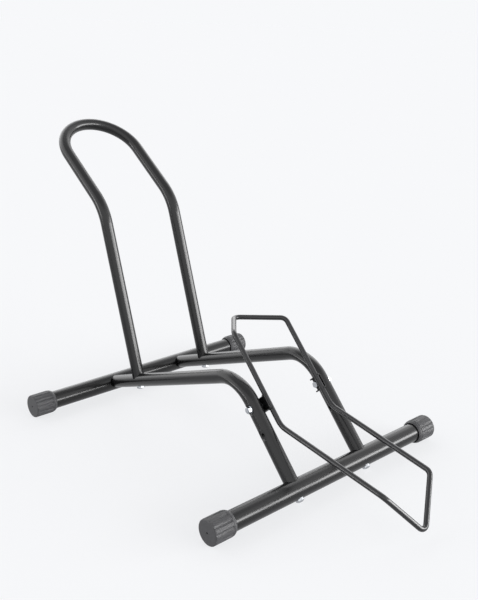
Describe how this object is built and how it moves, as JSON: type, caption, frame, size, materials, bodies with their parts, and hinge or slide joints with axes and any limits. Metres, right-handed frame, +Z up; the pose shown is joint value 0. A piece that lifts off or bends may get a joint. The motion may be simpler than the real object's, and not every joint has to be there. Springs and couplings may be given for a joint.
{
  "type": "floor bike rack",
  "caption": "Free-standing floor rack for one bicycle wheel: tube frame on capped cross tubes, tall leaning hoop, and a hinged wire cradle that swings up behind the tyre.",
  "frame": {"origin": "on the floor, under the middle of the rack's bounding box", "axes": "+Z up; X along the cross tubes; +Y from the entry side, where the cradle's outer end is, towards the hoop"},
  "size_m": [0.502, 0.8958, 0.4979],
  "materials": {
    "frame_tube": "black powder coat, satin gloss",
    "cradle": "black powder coat, satin gloss",
    "bracket": "black powder coat, satin",
    "end_cap": "moulded black plastic, matt",
    "fastener": "bright zinc plate",
    "spacer": "black nylon",
    "plug": "plain steel, welded in"
  },
  "bodies": {
    "frame": {"front_cap_left": "end_cap", "front_cap_right": "end_cap", "front_cross_tube": "frame_tube", "front_foot_bolt_left": "fastener", "front_foot_bolt_right": "fastener", "front_foot_plug_left": "plug", "front_foot_plug_right": "plug", "hoop_foot_bolt_left": "fastener", "hoop_foot_bolt_right": "fastener", "hoop_foot_plug_left": "plug", "hoop_foot_plug_right": "plug", "hoop_tube": "frame_tube", "pivot_bolt_left": "fastener", "pivot_bolt_right": "fastener", "pivot_nut_left": "fastener", "pivot_nut_right": "fastener", "pivot_spacer_left": "spacer", "pivot_spacer_right": "spacer", "pivot_washer_left": "fastener", "pivot_washer_right": "fastener", "rear_cap_left": "end_cap", "rear_cap_right": "end_cap", "rear_cross_tube": "frame_tube", "rear_foot_bolt_left": "fastener", "rear_foot_bolt_right": "fastener", "rear_foot_plug_left": "plug", "rear_foot_plug_right": "plug", "side_tube_left": "frame_tube", "side_tube_right": "frame_tube"},
    "cradle": {"cradle_rod": "cradle", "cradle_bracket_left": "bracket", "cradle_bracket_right": "bracket"}
  },
  "joints": [
    {"name": "cradle_swing", "type": "hinge", "parent": "frame", "child": "cradle", "pos_m": [0, -0.16404, 0.12157], "axis": [-1, 0, 0], "range_deg": [0, 75]}
  ]
}
